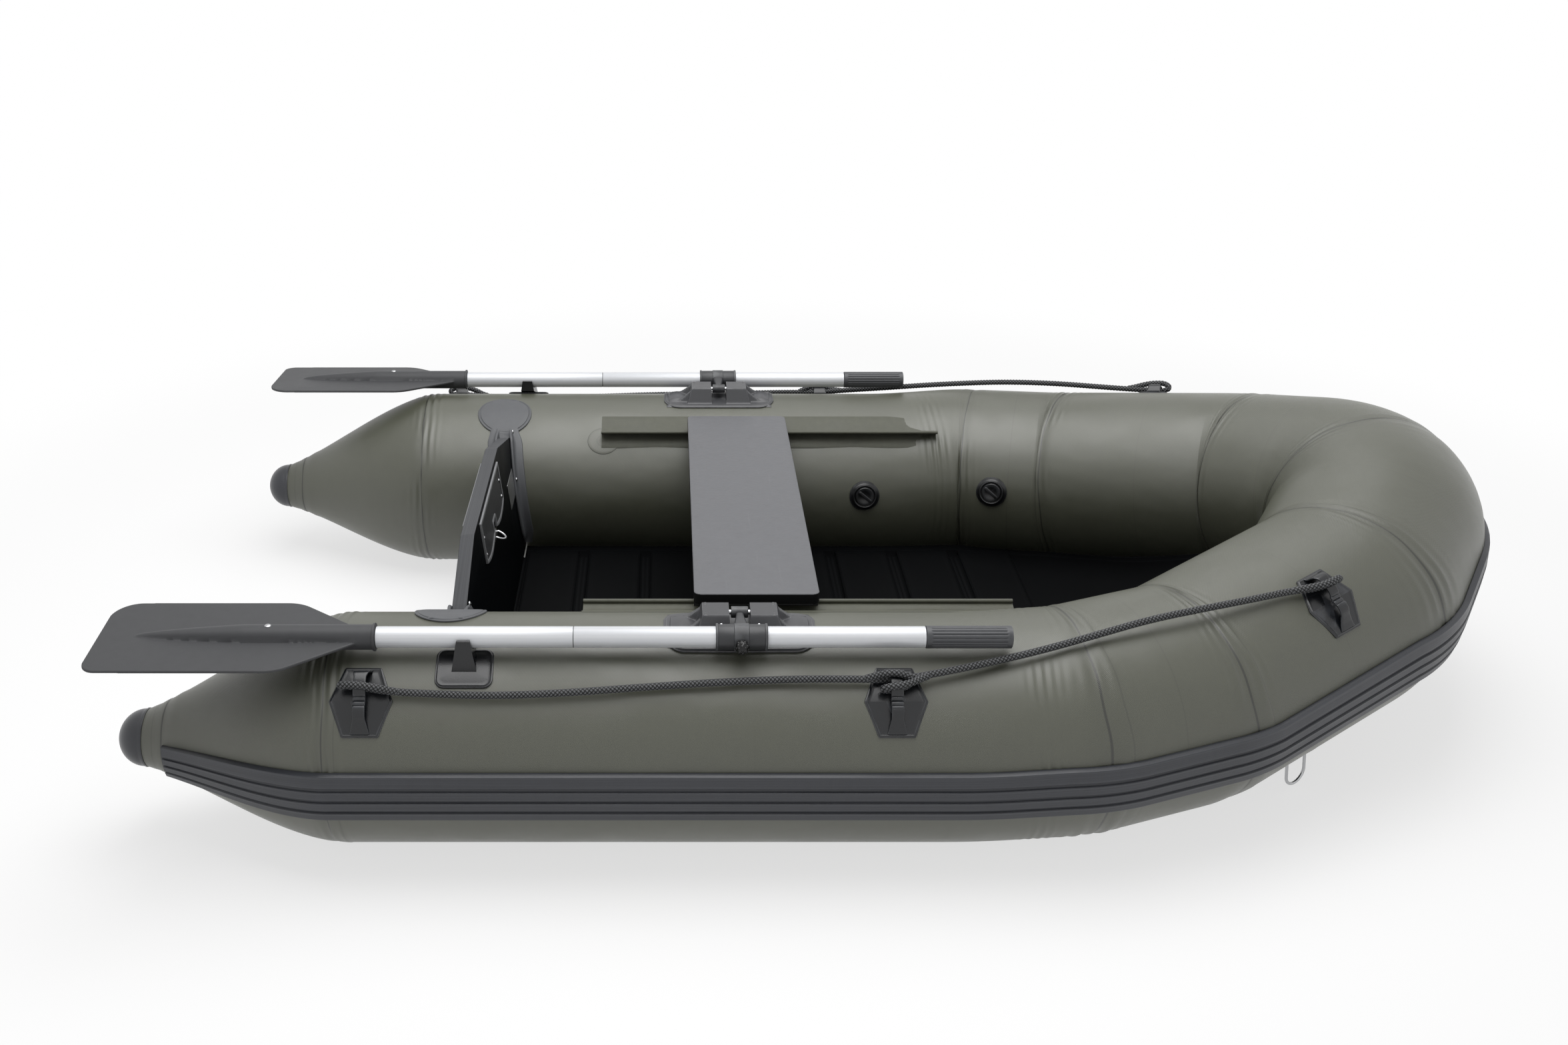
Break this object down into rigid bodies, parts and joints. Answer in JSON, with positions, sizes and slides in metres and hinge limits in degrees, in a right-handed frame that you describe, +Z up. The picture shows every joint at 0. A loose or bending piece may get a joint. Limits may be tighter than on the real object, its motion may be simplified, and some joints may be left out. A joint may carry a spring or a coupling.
{
  "type": "inflatable rowing boat",
  "caption": "Inflatable rowing dinghy: pointed-stern tubes, raised bow, plywood transom, slatted floor, sliding thwart and stowed oars on hinged rowlocks.",
  "frame": {"origin": "on the ground under the middle of the boat's length and beam", "axes": "+X towards the bow, +Y to port, +Z up"},
  "size_m": [2.3309, 1.3996, 0.5061],
  "materials": {
    "tube_fabric": "satin coated fabric",
    "moulded_rubber": "satin moulded rubber",
    "bottom_fabric": "coated fabric",
    "slat_wood": "black coated plywood",
    "transom_wood": "painted plywood",
    "thwart_wood": "grey painted plywood",
    "black_plastic": "matt moulded",
    "oar_tube": "satin anodised",
    "bright_steel": "polished",
    "rope": "braided"
  },
  "bodies": {
    "hull": {"tube_starboard": "tube_fabric", "tube_port": "tube_fabric", "tube_bow": "tube_fabric", "cone_starboard": "tube_fabric", "cone_port": "tube_fabric", "thwart_flap_starboard": "tube_fabric", "thwart_flap_port": "tube_fabric", "end_cap_starboard": "moulded_rubber", "end_cap_port": "moulded_rubber", "strake_starboard": "moulded_rubber", "strake_port": "moulded_rubber", "strake_bow": "moulded_rubber", "transom_holder_starboard": "moulded_rubber", "transom_holder_port": "moulded_rubber", "rowlock_base_starboard": "moulded_rubber", "rowlock_base_port": "moulded_rubber", "oar_clip_starboard": "moulded_rubber", "oar_clip_port": "moulded_rubber", "rope_patch_stern_starboard": "moulded_rubber", "rope_patch_stern_port": "moulded_rubber", "rope_patch_mid_starboard": "moulded_rubber", "rope_patch_mid_port": "moulded_rubber", "rope_patch_bow_starboard": "moulded_rubber", "rope_patch_bow_port": "moulded_rubber", "valves_starboard": "moulded_rubber", "valves_port": "moulded_rubber", "floor_fabric": "bottom_fabric", "ring_patch_starboard": "bottom_fabric", "ring_patch_port": "bottom_fabric", "floor_slats": "slat_wood", "transom_board": "transom_wood", "motor_plate_inner": "black_plastic", "motor_plate_outer": "black_plastic", "rowlock_pin_starboard": "bright_steel", "rowlock_pin_port": "bright_steel", "tow_ring_starboard": "bright_steel", "tow_ring_port": "bright_steel", "lifeline_starboard": "rope", "lifeline_port": "rope"},
    "thwart": {"thwart_board": "thwart_wood", "thwart_rail_starboard": "black_plastic", "thwart_rail_port": "black_plastic"},
    "oar_starboard": {"oar_shaft_starboard": "oar_tube", "oar_blade_starboard": "black_plastic", "oar_grip_starboard": "black_plastic", "oar_collar_starboard": "black_plastic", "oar_knuckle_starboard": "black_plastic", "oar_knob_starboard": "black_plastic"},
    "oar_port": {"oar_shaft_port": "oar_tube", "oar_blade_port": "black_plastic", "oar_grip_port": "black_plastic", "oar_collar_port": "black_plastic", "oar_knuckle_port": "black_plastic", "oar_knob_port": "black_plastic"}
  },
  "joints": [
    {"name": "thwart_slide", "type": "slide", "parent": "hull", "child": "thwart", "axis": [1, 0, 0], "range_m": [-0.17, 0.3]},
    {"name": "oar_lift_starboard", "type": "hinge", "parent": "hull", "child": "oar_starboard", "pos_m": [-0.189, -0.51, 0.3825], "axis": [-1, 0, 0], "range_deg": [0, 120]},
    {"name": "oar_lift_port", "type": "hinge", "parent": "hull", "child": "oar_port", "pos_m": [-0.189, 0.51, 0.3825], "axis": [1, 0, 0], "range_deg": [0, 120]}
  ]
}
